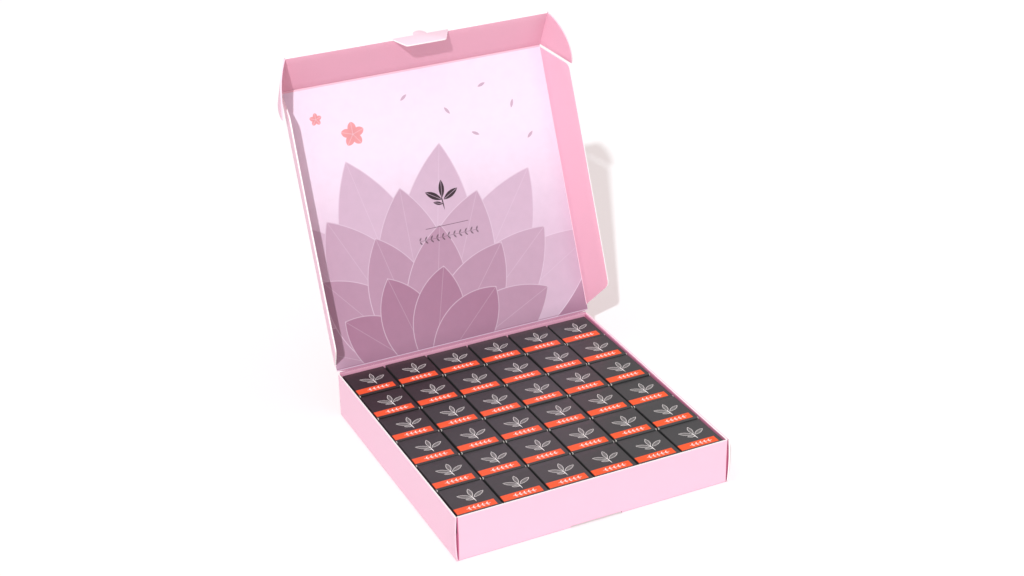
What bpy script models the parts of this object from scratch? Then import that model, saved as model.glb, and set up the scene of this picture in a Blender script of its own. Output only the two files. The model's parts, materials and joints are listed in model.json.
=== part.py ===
"""A flat gift box of folded board, lid open, packed with six rows of small cartons.

Metres, +Z up. The origin is the middle of the tray's underside. +X runs to the right along
the front wall, +Y to the back wall, which carries the lid. Each board panel is drawn flat
in its own fold's frame, with the fold along an axis of that frame, and an empty on the fold
turns it to the angle at which it stands.
"""
import math
import random

import bmesh
import bpy
from mathutils import Vector

# Board and clearances
BOARD = 0.0016
ROLLED_WALL = 0.0034
CLEARANCE = 0.0003
FOLD_REACH = BOARD / 2 + CLEARANCE
LID_CLEARANCE = 0.0004

# Tray
TRAY_WIDTH = 0.320
TRAY_DEPTH = 0.323
TRAY_HEIGHT = 0.053
BOTTOM_FOLD_RADIUS = 0.0010
BACK_FOLD_RADIUS = 0.0020
ROLLED_EDGE_RADIUS = 0.0014
SEAM_DEPTH = 0.009
SEAM_END_WIDTH = 0.0004
SEAM_MIDDLE_WIDTH = 0.0014
SLOT_WIDTH = 0.062
SLOT_HEIGHT = 0.0022
SLOT_DEPTH = 0.0030

# Lid and its folds
LID_LEAN = math.radians(22.5)
HINGE_HEIGHT = TRAY_HEIGHT + LID_CLEARANCE + BOARD / 2
HINGE_Y = TRAY_DEPTH / 2 - BOARD / 2
HINGE_SPAN = 0.3152
LID_HALF_WIDTH = TRAY_WIDTH / 2 + LID_CLEARANCE + BOARD / 2
LID_LENGTH = TRAY_DEPTH + LID_CLEARANCE
LID_NOTCH_WIDTH = 0.015
LID_NOTCH_DEPTH = 0.0026

SIDE_FLAP_DEPTH = 0.039
SIDE_FLAP_CORNER = 0.010
SIDE_FLAP_START = 0.009
SIDE_FLAP_END = LID_LENGTH - 0.0033
SIDE_FLAP_BACK_CHAMFER = 0.021
SIDE_FLAP_FRONT_CHAMFER = 0.027
SIDE_FLAP_SPLAY = {"left": math.radians(11), "right": math.radians(25)}

TUCK_DEPTH = 0.0515
TUCK_OPEN = math.radians(42)
THUMB_HOLE_RADIUS = 0.0092

EAR_LENGTH = 0.047
EAR_START = 0.0022
EAR_RISE = 0.0025
EAR_ROUNDNESS = 1.6
EAR_FOLD = {"left": math.radians(66), "right": math.radians(60)}

TAB_FOLD = math.radians(75)
TAB_LENGTH = 0.019
TAB_ROOT_HALF_WIDTH = 0.0345
TAB_TIP_HALF_WIDTH = 0.0240
TAB_CORNER = 0.0045
THUMB_RADIUS = 0.0084

# Cartons
ROWS = 6
COLUMNS = 6
CARTON_WIDTH = 0.0513
CARTON_DEPTH = 0.0522
CARTON_HEIGHT = 0.0481
CARTON_PITCH_X = 0.0521
CARTON_PITCH_Y = 0.0531
CARTON_TOP_STEP = 0.0004
CARTON_TOP_INSET = 0.0004
CARTON_FRONT_RADIUS = 0.0012
CARTON_CORNER_RADIUS = 0.0005
CARTON_TWIST = math.radians(0.3)
CARTON_SHIFT = 0.00008
CARTON_HEIGHT_SPREAD = 0.0005
CARTON_SEED = 36

# Colours and finishes
PINK_BOARD = (0.945, 0.660, 0.770)
PINK_FLAP = (0.930, 0.550, 0.690)
PRINTED_LID = (0.760, 0.600, 0.720)
CHARCOAL_CARD = (0.075, 0.062, 0.068)
BOARD_ROUGHNESS = 0.55
CARTON_ROUGHNESS = 0.42

# Facets on the round stretches
FOLD_FACETS = 3
CORNER_FACETS = 5
CURVE_FACETS = 14
EPSILON = 1e-6


def clear_scene():
    """Takes every object out of the scene."""
    for thing in list(bpy.data.objects):
        bpy.data.objects.remove(thing, do_unlink=True)


def make_material(name, colour, roughness):
    """Makes a plain board or card finish."""
    material = bpy.data.materials.new(name)
    material.use_nodes = True
    shader = material.node_tree.nodes["Principled BSDF"]
    shader.inputs["Base Color"].default_value = (*colour, 1.0)
    shader.inputs["Roughness"].default_value = roughness
    shader.inputs["Metallic"].default_value = 0.0
    return material


def add_object(name, mesh, parent=None, material=None):
    """Links a mesh, or an empty where there is none, into the scene."""
    thing = bpy.data.objects.new(name, mesh)
    bpy.context.scene.collection.objects.link(thing)
    thing.parent = parent
    if material is not None:
        mesh.materials.append(material)
    return thing


def mesh_from(name, builder):
    """Turns a bmesh into a mesh with its faces pointing out."""
    bmesh.ops.recalc_face_normals(builder, faces=builder.faces)
    mesh = bpy.data.meshes.new(name)
    builder.to_mesh(mesh)
    builder.free()
    mesh.shade_smooth()
    mesh.set_sharp_from_angle(angle=math.radians(30))
    return mesh


def box_mesh(name, low, high):
    """Makes a box between two corners."""
    builder = bmesh.new()
    bmesh.ops.create_cube(builder, size=1.0)
    for vertex in builder.verts:
        for axis in range(3):
            vertex.co[axis] = high[axis] if vertex.co[axis] > 0 else low[axis]
    return mesh_from(name, builder)


def prism(outline, low, high, plane="XY"):
    """Extrudes an outline, drawn in the given plane, from low to high across that plane."""
    builder = bmesh.new()

    def place(point, depth):
        if plane == "XY":
            return (point[0], point[1], depth)
        return (point[0], depth, point[1])

    face = builder.faces.new([builder.verts.new(place(point, low)) for point in outline])
    extruded = bmesh.ops.extrude_face_region(builder, geom=[face])
    for item in extruded["geom"]:
        if isinstance(item, bmesh.types.BMVert):
            item.co[2 if plane == "XY" else 1] = high
    bmesh.ops.recalc_face_normals(builder, faces=builder.faces)
    return builder


def bevel_edges(builder, chosen, radius, facets):
    """Rounds the edges that the test picks."""
    edges = [edge for edge in builder.edges if chosen(edge)]
    bmesh.ops.bevel(builder, geom=edges, offset=radius, segments=facets, profile=0.5,
                    affect="EDGES", clamp_overlap=True)


def edge_lies_at(edge, axis, value):
    """Tells whether both ends of an edge have the value on the axis."""
    return all(abs(vertex.co[axis] - value) < EPSILON for vertex in edge.verts)


def edge_runs_along(edge, axis):
    """Tells whether an edge is parallel to the axis."""
    direction = (edge.verts[1].co - edge.verts[0].co).normalized()
    return abs(direction[axis]) > 1 - EPSILON


def arc(centre, radius, start, end, facets):
    """Points along an arc, angles in radians."""
    points = []
    for step in range(facets + 1):
        angle = start + (end - start) * step / facets
        points.append((centre[0] + radius * math.cos(angle), centre[1] + radius * math.sin(angle)))
    return points


def rounded_outline(corners):
    """Closes a polygon of (x, y, radius) corners, with an arc at each corner that has a radius."""
    outline = []
    count = len(corners)
    for index, (x, y, radius) in enumerate(corners):
        here = Vector((x, y))
        if radius == 0:
            outline.append((x, y))
            continue
        before = (Vector(corners[index - 1][:2]) - here).normalized()
        after = (Vector(corners[(index + 1) % count][:2]) - here).normalized()
        half_angle = before.angle(after) / 2
        centre = here + (before + after).normalized() * radius / math.sin(half_angle)
        first = here + before * radius / math.tan(half_angle) - centre
        last = here + after * radius / math.tan(half_angle) - centre
        start = math.atan2(first.y, first.x)
        sweep = first.angle_signed(last) * -1
        outline.extend(arc(centre, radius, start, start + sweep, CORNER_FACETS))
    return outline


def mirrored(outline):
    """Mirrors an outline left to right, keeping its direction."""
    return [(-x, y) for x, y in reversed(outline)]


def add_panel(name, outline, parent, material, rounded=()):
    """Cuts a board panel to an outline and rounds the edges that fold, given as (axis, value)."""
    builder = prism(outline, -BOARD / 2, BOARD / 2)

    def folds(edge):
        return any(edge_lies_at(edge, axis, value) and not edge_runs_along(edge, 2)
                   for axis, value in rounded)

    if rounded:
        bevel_edges(builder, folds, BOARD / 2 - CLEARANCE / 10, FOLD_FACETS)
    return add_object(name, mesh_from(name, builder), parent, material)


def add_fold(name, parent, location, axis, angle):
    """Places an empty on a fold, turned about the fold's axis."""
    fold = add_object(name, None, parent)
    fold.location = location
    fold.rotation_euler[axis] = angle
    fold.empty_display_size = 0.02
    return fold


def combine(target, tool_mesh, operation):
    """Cuts a mesh from the target, or joins it on, and keeps the result as the target's mesh."""
    tool = add_object(tool_mesh.name + "_tool", tool_mesh)
    tool.hide_render = True
    tool.display_type = "WIRE"
    modifier = target.modifiers.new(operation.title(), "BOOLEAN")
    modifier.operation = operation
    modifier.solver = "EXACT"
    modifier.object = tool
    bpy.context.view_layer.update()
    evaluated = target.evaluated_get(bpy.context.evaluated_depsgraph_get())
    result = bpy.data.meshes.new_from_object(evaluated)
    target.modifiers.clear()
    target.data = result
    bpy.data.objects.remove(tool, do_unlink=True)


def seam_mesh(side):
    """The slim spindle of a gap between a side wall's outer layer and the front wall."""
    outer = side * (TRAY_WIDTH / 2 - BOARD)
    low = BOARD
    high = TRAY_HEIGHT + BOARD
    facets = 8
    inner = []
    for step in range(facets + 1):
        share = step / facets
        width = SEAM_END_WIDTH + (SEAM_MIDDLE_WIDTH - SEAM_END_WIDTH) * math.sin(math.pi * share)
        inner.append((outer - side * width, low + (high - low) * share))
    outline = [(outer, low)] + inner + [(outer, high)]
    front = -TRAY_DEPTH / 2
    return mesh_from("seam", prism(outline, front - BOARD, front + SEAM_DEPTH, "XZ"))


def add_tray(material):
    """Folds up the tray: floor, four walls, rolled side edges, corner seams and lock slot."""
    half_width = TRAY_WIDTH / 2
    half_depth = TRAY_DEPTH / 2
    block = prism(rounded_outline([(-half_width, -half_depth, 0), (half_width, -half_depth, 0),
                                   (half_width, half_depth, BACK_FOLD_RADIUS),
                                   (-half_width, half_depth, BACK_FOLD_RADIUS)]), 0, TRAY_HEIGHT)
    bevel_edges(block, lambda edge: edge_lies_at(edge, 2, 0), BOTTOM_FOLD_RADIUS, FOLD_FACETS - 1)
    tray = add_object("tray", mesh_from("tray", block))

    inside = box_mesh("inside", (-half_width + ROLLED_WALL, -half_depth + BOARD, BOARD),
                      (half_width - ROLLED_WALL, half_depth - BOARD, TRAY_HEIGHT + BOARD))
    combine(tray, inside, "DIFFERENCE")

    builder = bmesh.new()
    builder.from_mesh(tray.data)

    def rolled(edge):
        middle = (edge.verts[0].co + edge.verts[1].co) / 2
        on_side = abs(middle.x) > half_width - ROLLED_WALL - EPSILON
        return (edge_lies_at(edge, 2, TRAY_HEIGHT) and edge_runs_along(edge, 1) and on_side
                and edge.calc_length() > TRAY_DEPTH / 2)

    bevel_edges(builder, rolled, ROLLED_EDGE_RADIUS, FOLD_FACETS)
    tray.data = mesh_from("tray", builder)

    for side in (-1, 1):
        combine(tray, seam_mesh(side), "DIFFERENCE")
    slot = box_mesh("slot", (-SLOT_WIDTH / 2, -half_depth - BOARD, -BOARD),
                    (SLOT_WIDTH / 2, -half_depth + SLOT_DEPTH, SLOT_HEIGHT))
    combine(tray, slot, "DIFFERENCE")

    rail = prism([(-HINGE_SPAN / 2, TRAY_HEIGHT - BOARD), (HINGE_SPAN / 2, TRAY_HEIGHT - BOARD),
                  (HINGE_SPAN / 2, HINGE_HEIGHT + BOARD / 2), (-HINGE_SPAN / 2, HINGE_HEIGHT + BOARD / 2)],
                 HINGE_Y - BOARD / 2, HINGE_Y + BOARD / 2, "XZ")
    bevel_edges(rail, lambda edge: edge_lies_at(edge, 2, HINGE_HEIGHT + BOARD / 2)
                and edge_runs_along(edge, 0), BOARD / 2 - CLEARANCE / 10, FOLD_FACETS)
    combine(tray, mesh_from("hinge_rail", rail), "UNION")

    tray.data.name = "tray"
    tray.data.materials.clear()
    tray.data.materials.append(material)
    tray.data.shade_smooth()
    tray.data.set_sharp_from_angle(angle=math.radians(30))
    return tray


def add_lid_panel(parent, material):
    """The lid's big panel, from the hinge to the tuck flap's fold."""
    side = LID_HALF_WIDTH + BOARD / 2
    end = LID_LENGTH + BOARD / 2
    outline = [(-side, FOLD_REACH + LID_NOTCH_DEPTH), (-side + LID_NOTCH_WIDTH, FOLD_REACH),
               (side - LID_NOTCH_WIDTH, FOLD_REACH), (side, FOLD_REACH + LID_NOTCH_DEPTH),
               (side, end), (-side, end)]
    return add_panel("lid_panel", outline, parent, material,
                     rounded=((0, -side), (0, side), (1, end)))


def add_side_flap(side, parent, material):
    """A long flap with chamfered, rounded ends along one side of the lid."""
    outline = rounded_outline([
        (FOLD_REACH, SIDE_FLAP_START, 0),
        (SIDE_FLAP_DEPTH, SIDE_FLAP_START + SIDE_FLAP_BACK_CHAMFER, SIDE_FLAP_CORNER),
        (SIDE_FLAP_DEPTH, SIDE_FLAP_END - SIDE_FLAP_FRONT_CHAMFER, SIDE_FLAP_CORNER),
        (FOLD_REACH, SIDE_FLAP_END, 0)])
    turn = math.pi / 2 - SIDE_FLAP_SPLAY[side]
    if side == "left":
        outline = mirrored(outline)
        fold = add_fold("left_flap_fold", parent, (-LID_HALF_WIDTH, 0, 0), 1, turn)
    else:
        fold = add_fold("right_flap_fold", parent, (LID_HALF_WIDTH, 0, 0), 1, -turn)
    return add_panel("side_flap_" + side, outline, fold, material)


def add_tuck_flap(parent, material):
    """The flap across the lid's front edge, with a half-round gap for the tab's thumb piece."""
    side = LID_HALF_WIDTH + BOARD / 2
    notch = arc((0, TUCK_DEPTH), THUMB_HOLE_RADIUS, 0, -math.pi, CURVE_FACETS)
    outline = [(-side, FOLD_REACH), (side, FOLD_REACH), (side, TUCK_DEPTH)] + notch
    outline.append((-side, TUCK_DEPTH))
    return add_panel("tuck_flap", outline, parent, material, rounded=((0, -side), (0, side)))


def ear_outline():
    """A quarter leaf: a straight lower edge and a full curve back to the tuck flap's corner."""
    height = TUCK_DEPTH - CLEARANCE
    tip = EAR_START + EAR_RISE
    outline = [(FOLD_REACH, EAR_START)]
    for step in range(CURVE_FACETS + 1):
        angle = math.pi / 2 * step / CURVE_FACETS
        across = math.cos(angle) ** (2 / EAR_ROUNDNESS)
        along = math.sin(angle) ** (2 / EAR_ROUNDNESS)
        outline.append((FOLD_REACH + (EAR_LENGTH - FOLD_REACH) * across, tip + (height - tip) * along))
    return outline


def add_ear(side, parent, material):
    """A leaf-shaped ear at one end of the tuck flap."""
    outline = ear_outline()
    if side == "left":
        outline = mirrored(outline)
        fold = add_fold("left_ear_fold", parent, (-LID_HALF_WIDTH, 0, 0), 1, EAR_FOLD[side])
    else:
        fold = add_fold("right_ear_fold", parent, (LID_HALF_WIDTH, 0, 0), 1, -EAR_FOLD[side])
    return add_panel("ear_" + side, outline, fold, material)


def add_lock_tab(parent, material):
    """The lock tab: a trapezoid, with a half-round thumb piece on the other side of its fold."""
    thumb = arc((0, 0), THUMB_RADIUS, math.pi, 2 * math.pi, CURVE_FACETS)
    outline = [(-THUMB_RADIUS, FOLD_REACH)] + thumb + [(THUMB_RADIUS, FOLD_REACH)]
    trapezoid = rounded_outline([
        (TAB_ROOT_HALF_WIDTH, FOLD_REACH, 0),
        (TAB_TIP_HALF_WIDTH, TAB_LENGTH, TAB_CORNER),
        (-TAB_TIP_HALF_WIDTH, TAB_LENGTH, TAB_CORNER),
        (-TAB_ROOT_HALF_WIDTH, FOLD_REACH, 0)])
    return add_panel("lock_tab", outline + trapezoid, parent, material)


def carton_mesh(name, height):
    """A small carton: stepped top panel between the side walls, round fold along its front."""
    half = CARTON_WIDTH / 2
    shoulder = height - CARTON_TOP_STEP
    inset = half - CARTON_TOP_INSET
    section = [(-half, 0), (half, 0), (half, shoulder), (inset, shoulder), (inset, height),
               (-inset, height), (-inset, shoulder), (-half, shoulder)]
    builder = prism(section, -CARTON_DEPTH / 2, CARTON_DEPTH / 2, "XZ")
    bevel_edges(builder, lambda edge: edge_lies_at(edge, 2, height)
                and edge_lies_at(edge, 1, -CARTON_DEPTH / 2), CARTON_FRONT_RADIUS, FOLD_FACETS)
    bevel_edges(builder, lambda edge: edge_runs_along(edge, 2)
                and edge.calc_length() > CARTON_HEIGHT / 2, CARTON_CORNER_RADIUS, 1)
    return mesh_from(name, builder)


def add_cartons(material):
    """Fills the tray with cartons in rows, each a little turned, shifted and uneven in height."""
    draw = random.Random(CARTON_SEED)
    for row in range(ROWS):
        for column in range(COLUMNS):
            name = f"carton_{row + 1}_{column + 1}"
            height = CARTON_HEIGHT + draw.uniform(-1, 1) * CARTON_HEIGHT_SPREAD
            carton = add_object(name, carton_mesh(name, height), None, material)
            x = (column - (COLUMNS - 1) / 2) * CARTON_PITCH_X
            y = ((ROWS - 1) / 2 - row) * CARTON_PITCH_Y
            carton.location = (x + draw.uniform(-1, 1) * CARTON_SHIFT,
                               y + draw.uniform(-1, 1) * CARTON_SHIFT, BOARD + CLEARANCE)
            carton.rotation_euler[2] = draw.uniform(-1, 1) * CARTON_TWIST


def build():
    """Builds the whole box."""
    clear_scene()
    board = make_material("pink_board", PINK_BOARD, BOARD_ROUGHNESS)
    flap_board = make_material("pink_flap_board", PINK_FLAP, BOARD_ROUGHNESS)
    printed = make_material("printed_lid_board", PRINTED_LID, BOARD_ROUGHNESS)
    charcoal = make_material("charcoal_card", CHARCOAL_CARD, CARTON_ROUGHNESS)

    add_tray(board)
    add_cartons(charcoal)

    lid_hinge = add_fold("lid_hinge", None, (0, HINGE_Y, HINGE_HEIGHT), 0, math.pi / 2 - LID_LEAN)
    add_lid_panel(lid_hinge, printed)
    for side in ("left", "right"):
        add_side_flap(side, lid_hinge, flap_board)
    tuck_fold = add_fold("tuck_fold", lid_hinge, (0, LID_LENGTH, 0), 0, math.pi / 2 - TUCK_OPEN)
    add_tuck_flap(tuck_fold, flap_board)
    for side in ("left", "right"):
        add_ear(side, tuck_fold, flap_board)
    tab_fold = add_fold("tab_fold", tuck_fold, (0, TUCK_DEPTH, 0), 0, TAB_FOLD)
    add_lock_tab(tab_fold, board)


build()
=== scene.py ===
"""The looks of a hinged gift box of folded board, packed with rows of small tea cartons.

Laid out as a Blender add-on and run as a script. Metres, +Z up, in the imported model's own
frame. Every board panel is cut flat in its own axes: x across, y along, z towards the inside
of the box. Its fold then lies on the model's hinge axis, so a panel can turn on it.
"""
import json
import math
import random

import bmesh
import bpy
from bpy.props import FloatProperty, FloatVectorProperty, IntProperty, PointerProperty
from mathutils import Euler, Matrix, Vector


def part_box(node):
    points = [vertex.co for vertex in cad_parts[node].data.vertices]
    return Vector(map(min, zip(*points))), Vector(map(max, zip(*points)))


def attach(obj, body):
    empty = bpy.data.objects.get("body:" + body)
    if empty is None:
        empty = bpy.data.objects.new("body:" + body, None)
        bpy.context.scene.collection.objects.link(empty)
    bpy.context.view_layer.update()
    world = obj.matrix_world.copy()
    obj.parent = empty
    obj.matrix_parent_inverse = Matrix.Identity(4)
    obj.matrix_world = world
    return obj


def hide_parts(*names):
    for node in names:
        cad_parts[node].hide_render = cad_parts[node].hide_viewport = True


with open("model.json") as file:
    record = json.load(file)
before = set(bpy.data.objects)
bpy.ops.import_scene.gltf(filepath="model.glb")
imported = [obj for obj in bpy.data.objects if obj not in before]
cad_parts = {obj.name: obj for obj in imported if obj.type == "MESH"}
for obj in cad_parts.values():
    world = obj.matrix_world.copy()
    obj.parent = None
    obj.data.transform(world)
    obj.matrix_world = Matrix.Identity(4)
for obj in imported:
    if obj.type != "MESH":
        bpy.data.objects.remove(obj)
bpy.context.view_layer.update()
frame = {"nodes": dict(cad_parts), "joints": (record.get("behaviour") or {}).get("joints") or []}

bl_info = {
    "name": "Tea box",
    "version": (1, 0, 0),
    "blender": (4, 5, 0),
    "location": "3D View > Sidebar > Tea box",
    "description": "Dresses a hinged gift box of folded board, packed with small tea cartons",
    "category": "Object",
}

JOINTS = {joint["name"]: joint for joint in frame["joints"]}
SIDES = {"left": -1, "right": 1}
ACROSS = Vector((1, 0, 0))

# Facets on the round stretches
FOLD_FACETS = 6
BEAD_FACETS = 20
CORNER_FACETS = 10
CURVE_FACETS = 40
SMOOTH_ANGLE = math.radians(35)
TOUCH = 1e-5

# How much of a unit normal or edge lies along an axis: parallel, facing, steep, sloping
PARALLEL = 0.999
FACING = 0.9
STEEP = 0.5
SLOPING = 0.05


def srgb(red, green, blue):
    """Turns a colour picked on screen, 0 to 255, into the linear values that Blender keeps."""
    def linear(value):
        share = value / 255
        return share / 12.92 if share <= 0.04045 else ((share + 0.055) / 1.055) ** 2.4
    return (linear(red), linear(green), linear(blue))


def length(name, default, description, low=0.0, high=1.0):
    """A size in metres that the user can change."""
    return FloatProperty(name=name, description=description, default=default, min=low, max=high,
                         precision=5, unit="LENGTH")


def colour(name, default, description):
    """A colour that the user can change."""
    return FloatVectorProperty(name=name, description=description, default=default, min=0.0,
                               max=1.0, size=3, subtype="COLOR")


def amount(name, default, description, high=10.0):
    """A plain number that the user can change."""
    return FloatProperty(name=name, description=description, default=default, min=0.0, max=high)


def degrees(name, default_deg, description, high):
    """An angle that the user can change, its default in degrees."""
    return FloatProperty(name=name, description=description, default=math.radians(default_deg),
                         min=0.0, max=high, subtype="ANGLE")


class BoardSizes(bpy.types.PropertyGroup):
    """Sizes of the folded board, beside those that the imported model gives."""
    thickness: length("Board", 0.0016, "Thickness of the board", 0.0008, 0.003)
    rolled_wall: length("Rolled wall", 0.0034, "Thickness of a side wall, two layers of board")
    cut_rounding: length("Cut rounding", 0.00018, "How far a cut edge is rounded")
    wall_height: length("Wall height", 0.053, "Height of the tray's walls")
    bottom_fold: length("Bottom fold", 0.001, "Radius of the folds round the floor")
    back_fold: length("Back fold", 0.002, "Radius of the back corners")
    rolled_edge: length("Rolled edge", 0.0014, "Radius of the rolled wall's top folds")
    left_lining: length("Left lining", 0.030, "Height of the left wall's inner layer")
    seam_place: length("Seam place", 0.0014, "Board left outside a front corner seam")
    seam_depth: length("Seam depth", 0.0022, "How far the front corner seams run back")
    seam_end: length("Seam end width", 0.00035, "Width of a corner seam at its ends")
    seam_middle: length("Seam middle width", 0.0007, "Width of a corner seam at half height")
    wall_bulge: length("Wall bulge", 0.0013, "How far a side wall's front end springs out")
    bulge_reach: length("Bulge reach", 0.025, "How far back a side wall's front end springs out")
    slot_width: length("Slot width", 0.060, "Width of the lock slot under the front wall")
    slot_height: length("Slot height", 0.0019, "Height of the lock slot")
    slot_depth: length("Slot depth", 0.006, "Depth of the lock slot")
    bow: length("Bow", 0.0007, "How far a panel bows out of flat")


class FlapSizes(bpy.types.PropertyGroup):
    """Outlines of the lid's flaps, ears and lock tab."""
    notch_width: length("Notch width", 0.015, "Width of the lid's notches beside the hinge")
    notch_depth: length("Notch depth", 0.0026, "Depth of the lid's notches beside the hinge")
    side_depth: length("Side flap depth", 0.039, "Depth of the lid's side flaps")
    side_corner: length("Side flap corner", 0.010, "Radius of the side flaps' corners")
    side_start: length("Side flap start", 0.009, "Gap between the hinge and a side flap")
    side_end: length("Side flap end", 0.0022, "Gap between a side flap and the tuck fold")
    back_chamfer: length("Back chamfer", 0.021, "Length of a side flap's chamfer at the hinge")
    front_chamfer: length("Front chamfer", 0.027, "Length of a side flap's chamfer at the front")
    thumb_gap: length("Thumb gap", 0.0092, "Radius of the half-round gap in the tuck flap")
    ear_length: length("Ear length", 0.047, "Length of the tuck flap's ears")
    ear_start: length("Ear start", 0.0016, "Gap between an ear and the lid's fold")
    ear_rise: length("Ear rise", 0.0015, "Rise of an ear's straight edge towards its tip")
    ear_roundness: amount("Ear roundness", 1.6, "How full the ears' outer curve is", 4.0)
    ear_belly: length("Ear belly", 0.0018, "How far the left ear curls outwards half way along")
    ear_hook: length("Ear hook", 0.0050, "How far the left ear's tip curls back in")
    tab_length: length("Tab length", 0.019, "Length of the lock tab")
    tab_root: length("Tab root", 0.0345, "Half the lock tab's width at its fold")
    tab_tip: length("Tab tip", 0.0240, "Half the lock tab's width at its tip")
    tab_corner: length("Tab corner", 0.0045, "Radius of the lock tab's corners")
    thumb: length("Thumb piece", 0.0084, "Radius of the lock tab's thumb piece")


class PaperColours(bpy.types.PropertyGroup):
    """Colours of the printed paper on the board."""
    outside: colour("Outside", srgb(238, 194, 213), "Outer faces of the box")
    flap: colour("Flaps", srgb(235, 174, 195), "Inner faces of the lid's flaps")
    wall: colour("Walls", srgb(232, 168, 194), "Inner faces of the tray's front and back")
    # The side walls' inner faces take a deeper tint than the front and back: painted shade
    deep: colour("Rolled walls", srgb(214, 132, 164), "Inner faces of the tray's side walls")
    # Dark paper deep in the corner seams: painted shade in the recesses
    shade: colour("Seams", srgb(196, 104, 138), "Paper deep inside the corner seams")
    # Dark paper deep in the lock slot: painted shade in the recess
    slot: colour("Slot", srgb(140, 76, 102), "Paper deep inside the lock slot")
    fold: colour("Folds", srgb(246, 214, 228), "Paper stretched over a fold")
    core: colour("Cut edge", srgb(252, 246, 247), "The board's core at a cut edge")
    pale: colour("Print, pale", srgb(238, 221, 238), "The lid print's plain upper ground")
    lilac: colour("Print, lilac", srgb(214, 188, 209), "The lid print's middle tone")
    mauve: colour("Print, mauve", srgb(164, 118, 145), "The lid print's darkest tone")
    margin: colour("Print, margin", srgb(244, 194, 210), "The bare strip at the lid's front fold")
    crease: colour("Crease", srgb(176, 140, 152), "The paper's shadow in a crease")
    # Mauve-pink over the hinge, on the lid and the back wall's top: partly print, partly painted
    # shade in the crease
    hinge: colour("Hinge", srgb(200, 138, 166), "Paper over the back wall's top and the score")
    rim: colour("Inner rim", srgb(246, 190, 212), "Inner faces near the walls' tops")
    coral: colour("Print, coral", srgb(228, 152, 156), "Blossoms on the lid print")
    ink: colour("Print, ink", srgb(52, 36, 46), "Fine ornaments on the lid print")


class CartonLooks(bpy.types.PropertyGroup):
    """Sizes and colours of the small cartons."""
    card: length("Card", 0.0004, "Thickness of the cartons' card")
    front_fold: length("Front fold", 0.0012, "Radius of the top panel's front fold")
    corner: length("Corner", 0.0006, "Radius of the upright corners")
    rim_drop: length("Rim drop", 0.0006, "How far the walls' rims lie below the top panel")
    ear_cut: length("Corner cut", 0.0028, "Length of the bare card at a top panel's front corners")
    tilt: length("Tilt", 0.0012, "How much higher a top's front stands than its back")
    crown: length("Crown", 0.00030, "How far a top panel swells")
    gap: length("Column gap", 0.0007, "Room left on each side of a carton")
    lift: length("Lift", 0.0006, "How far the tops stand above their folds")
    seed: IntProperty(name="Seed", description="Draws each carton's tone and crown", default=12)
    charcoal: colour("Charcoal", srgb(49, 50, 51), "The cartons' ground colour")
    # Brown takes over where the tone is low, so it also carries the painted reflection at the back
    # left
    brown: colour("Brown", srgb(46, 36, 38), "The warmer tone of some cartons")
    band: colour("Band", srgb(252, 88, 32), "The band along the front of each top")
    pale: colour("Pale ink", srgb(252, 249, 246), "Sprig and fine ornament on each top")
    edge: colour("Card edge", srgb(222, 218, 212), "The card's core at a cut edge")


class StudioLooks(bpy.types.PropertyGroup):
    """Floor, light and camera."""
    floor_size: length("Floor size", 40.0, "Width of the floor", 1.0, 50.0)
    floor_colour: colour("Floor", (0.70, 0.775, 0.80), "Colour of the floor")
    floor_glow: colour("Floor glow", (0.29, 0.19, 0.165), "Light that the floor gives off itself")
    key_strength: amount("Key light", 2.2, "Strength of the key light")
    key_spread: degrees("Key spread", 1.3, "Angle that the key light fills", 1.0)
    top_strength: amount("Top light", 0.8, "Strength of the soft light from above")
    top_spread: degrees("Top spread", 90, "Angle that the soft light fills", 3.0)
    fill_strength: amount("Fill light", 0.47, "Strength of the light from all round")
    lens: amount("Lens", 65.707, "Focal length in millimetres on a 36 mm sensor", 300.0)


def sizes():
    """The board's sizes as the user set them."""
    return bpy.context.scene.tea_board


def flaps():
    """The flaps' outlines as the user set them."""
    return bpy.context.scene.tea_flaps


def paper():
    """The paper's colours as the user set them."""
    return bpy.context.scene.tea_paper


def cartons():
    """The cartons' sizes and colours as the user set them."""
    return bpy.context.scene.tea_cartons


def joint_point(name):
    """Where a joint's axis passes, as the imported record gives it."""
    return Vector(JOINTS[name]["pos_m"])


def joint_axis(name):
    """Which way a joint's axis runs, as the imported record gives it."""
    return Vector(JOINTS[name]["axis"]).normalized()


def lid_length():
    """From the lid's hinge to the tuck flap's fold."""
    return (joint_point("tuck_fold") - joint_point("lid_hinge")).length


def tuck_depth():
    """From the tuck flap's fold to its free edge."""
    return (joint_point("tab_fold") - joint_point("tuck_fold")).length


def lid_half_width():
    """From the middle of the lid to a side flap's fold."""
    return joint_point("right_flap_fold").x


def panel_axes(origin, across, along):
    """A panel's own axes: x across, y along, z towards the inside of the box."""
    inward = across.cross(along).normalized()
    axes = Matrix((across, along, inward)).transposed().to_4x4()
    axes.translation = origin
    return axes


def lid_axes():
    """Axes of the lid's big panel, on its hinge."""
    return panel_axes(joint_point("lid_hinge"), ACROSS, joint_axis("right_flap_fold"))


def tuck_axes():
    """Axes of the tuck flap, on its fold."""
    return panel_axes(joint_point("tuck_fold"), ACROSS, joint_axis("right_ear_fold"))


def folded_axes(origin, parent_axes, side, angle):
    """Axes of a flap folded up by an angle along a side of its parent panel."""
    inward = parent_axes.to_3x3().col[2]
    outward = ACROSS * math.cos(angle) + inward * math.sin(angle) * SIDES[side]
    return panel_axes(origin, outward, parent_axes.to_3x3().col[1])


def side_flap_axes(side):
    """Axes of a side flap, splayed out from square by its joint's whole range."""
    joint = side + "_flap_fold"
    angle = math.radians(90 + JOINTS[joint]["range_deg"][0])
    return folded_axes(joint_point(joint), lid_axes(), side, angle)


def ear_axes(side):
    """Axes of an ear, folded up by its joint's whole range."""
    joint = side + "_ear_fold"
    angle = math.radians(JOINTS[joint]["range_deg"][1])
    return folded_axes(joint_point(joint), tuck_axes(), side, angle)


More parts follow.
